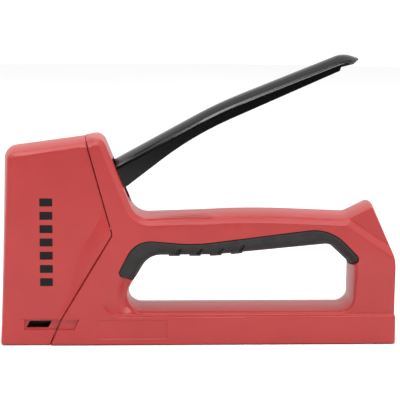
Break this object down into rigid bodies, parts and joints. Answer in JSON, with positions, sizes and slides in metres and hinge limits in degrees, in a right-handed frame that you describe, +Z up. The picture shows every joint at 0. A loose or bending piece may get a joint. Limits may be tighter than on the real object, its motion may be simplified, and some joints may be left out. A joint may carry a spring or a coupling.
{
  "type": "staple gun",
  "caption": "Hand staple gun: red clamshell housing with a closed rubber-lined grip, a black squeeze lever, a sprung driver and a rear-loading magazine.",
  "frame": {"origin": "on the ground under the middle of the housing", "axes": "+X from the nose to the rear, +Y to the right-hand side, +Z up"},
  "size_m": [0.19, 0.0304, 0.1384],
  "materials": {
    "red_plastic": "moulded satin with a fine spark-eroded grain",
    "grip_rubber": "matt, slightly dusty",
    "bumper_rubber": "matt",
    "black_paint": "glossy powder coat",
    "steel": "bright zinc",
    "spring_steel": "oiled drawn wire",
    "screw_steel": "dark zinc",
    "black_plastic": "satin"
  },
  "bodies": {
    "housing": {"front_cover_left": "red_plastic", "front_cover_right": "red_plastic", "body_shell_left": "red_plastic", "body_shell_right": "red_plastic", "rubber_grip": "grip_rubber", "nose_plate": "steel", "magazine_channel": "steel", "core_rail": "steel", "rubber_bumper": "bumper_rubber", "spring_cap": "black_plastic", "main_spring": "spring_steel", "pivot_pin": "steel", "pivot_sleeve": "steel", "housing_screw_1": "screw_steel", "housing_screw_2": "screw_steel", "housing_screw_3": "screw_steel", "housing_screw_4": "screw_steel", "housing_screw_5": "screw_steel", "housing_screw_6": "screw_steel", "housing_screw_7": "screw_steel"},
    "lever": {"lever": "black_paint", "lift_pin": "steel", "lever_return_spring": "spring_steel"},
    "roller": {"lift_roller": "steel"},
    "driver": {"plunger": "steel", "driver_blade": "steel"},
    "magazine": {"magazine_cap": "black_plastic", "cap_clip": "spring_steel", "pusher_rod": "steel", "pusher_spring": "spring_steel"},
    "pusher": {"staple_pusher": "black_plastic"}
  },
  "joints": [
    {"name": "lever_swing", "type": "hinge", "parent": "housing", "child": "lever", "pos_m": [-0.044, 0, 0.08], "axis": [0, 1, 0], "range_deg": [0, 27], "stiffness_Nm_per_rad": 1.5, "springref_deg": -11.46},
    {"name": "plunger_slide", "type": "slide", "parent": "housing", "child": "driver", "axis": [0, 0, 1], "range_m": [0, 0.0112], "stiffness_N_per_m": 2000, "springref_m": -0.01, "deforming": ["main_spring"]},
    {"name": "roller_spin", "type": "hinge", "parent": "lever", "child": "roller", "pos_m": [-0.0659, 0, 0.0695], "axis": [0, 1, 0], "continuous": true},
    {"name": "magazine_pull", "type": "slide", "parent": "housing", "child": "magazine", "axis": [1, 0, 0], "range_m": [0, 0.12]},
    {"name": "pusher_feed", "type": "slide", "parent": "magazine", "child": "pusher", "axis": [1, 0, 0], "range_m": [0, 0.1], "stiffness_N_per_m": 30, "springref_m": -0.05}
  ],
  "couplings": [
    {"joint": "plunger_slide", "follows": "lever_swing", "m_per_rad": 0.0235}
  ]
}
